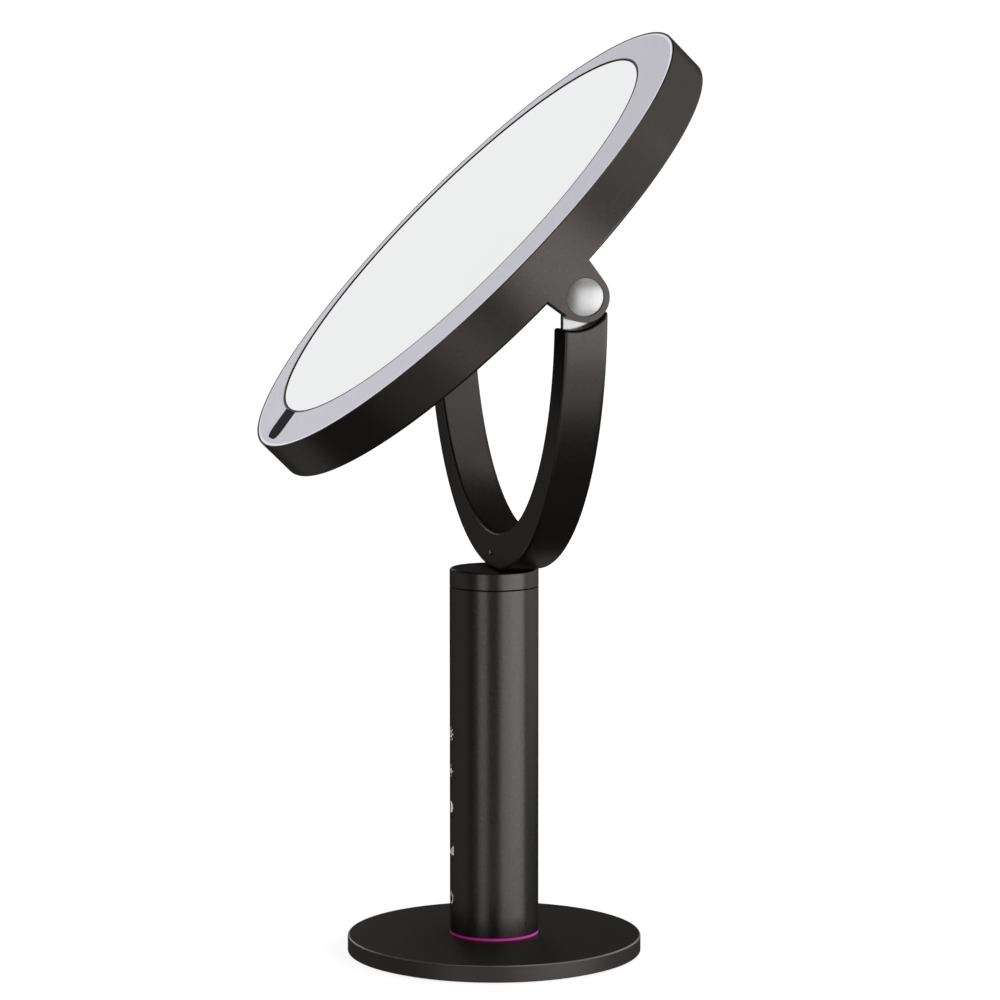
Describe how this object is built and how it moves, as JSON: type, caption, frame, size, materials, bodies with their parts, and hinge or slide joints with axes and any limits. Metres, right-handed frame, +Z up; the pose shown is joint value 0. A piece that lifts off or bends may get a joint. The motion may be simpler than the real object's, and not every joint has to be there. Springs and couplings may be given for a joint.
{
  "type": "lit tabletop vanity mirror",
  "caption": "Round lit mirror head that tilts in a half-ring yoke on a slim touch-control column with a glowing foot and a weighted disc base.",
  "frame": {"origin": "middle of the underside of the base, on the column axis, at table height", "axes": "+Z up along the column, front towards -Y where the mirror and the touch icons face, +X along the tilt axis to the right-hand pivot (left-hand as seen by a user in front)"},
  "size_m": [0.2416, 0.1814, 0.3903],
  "materials": {
    "bronze_plastic": "moulded plastic with a satin dark bronze-grey metallic coating",
    "bronze_aluminium": "aluminium with a satin dark bronze-grey metallic coating",
    "bronze_steel": "pressed steel with a satin dark bronze-grey metallic coating",
    "bright_steel": "polished bright steel",
    "plain_steel": "plain zinc-plated steel",
    "black_plastic": "black moulded plastic",
    "grey_plastic": "grey moulded plastic",
    "mirror_silver": "silvered float glass",
    "opal_plastic": "frosted opal light diffuser",
    "glow_plastic": "translucent light guide lit magenta",
    "icon_plastic": "tinted touch key with a pale symbol",
    "circuit_board": "green circuit board with its components",
    "cell_wrap": "shrink-wrapped lithium cell",
    "rubber": "black rubber",
    "cable_sheath": "black cable sheath"
  },
  "bodies": {
    "stand": {"base_pad": "rubber", "base_weight": "plain_steel", "base_cover": "bronze_steel", "base_screw_1": "plain_steel", "base_screw_2": "plain_steel", "base_screw_3": "plain_steel", "glow_ring": "glow_plastic", "glow_led_board": "circuit_board", "column_foot": "grey_plastic", "column_tube": "bronze_aluminium", "touch_icon_1": "icon_plastic", "touch_icon_2": "icon_plastic", "touch_icon_3": "icon_plastic", "touch_icon_4": "icon_plastic", "touch_icon_5": "icon_plastic", "touch_board": "circuit_board", "main_board": "circuit_board", "charging_port": "plain_steel", "battery_cell": "cell_wrap", "battery_cradle": "grey_plastic", "column_cap": "bronze_aluminium", "yoke_stud": "plain_steel", "yoke": "bronze_aluminium", "yoke_liner": "black_plastic", "yoke_cable": "cable_sheath", "yoke_grub_screw": "plain_steel", "hinge_tongue_left": "bright_steel", "tongue_screw_left": "plain_steel", "pivot_shaft_left": "plain_steel", "friction_washer_left": "black_plastic", "spring_washer_left": "plain_steel", "pivot_nut_left": "plain_steel", "hinge_tongue_right": "bright_steel", "tongue_screw_right": "plain_steel", "pivot_shaft_right": "plain_steel", "friction_washer_right": "black_plastic", "spring_washer_right": "plain_steel", "pivot_nut_right": "plain_steel"},
    "head": {"head_rim": "bronze_plastic", "back_cover": "bronze_plastic", "back_screw_1": "plain_steel", "back_screw_2": "plain_steel", "back_screw_3": "plain_steel", "back_screw_4": "plain_steel", "back_screw_5": "plain_steel", "back_screw_6": "plain_steel", "mirror_glass": "mirror_silver", "glass_retainer": "black_plastic", "glass_tray": "grey_plastic", "diffuser_ring": "opal_plastic", "sensor_window": "black_plastic", "led_ring_board": "circuit_board", "sensor_board": "circuit_board", "head_board": "circuit_board", "led_lead": "cable_sheath", "pivot_cap_left": "bright_steel", "pivot_cap_right": "bright_steel"}
  },
  "joints": [
    {"name": "head_tilt", "type": "hinge", "parent": "stand", "child": "head", "pos_m": [0, 0.0054, 0.2857], "axis": [-1, 0, 0], "range_deg": [-44.6, 50.4]}
  ]
}
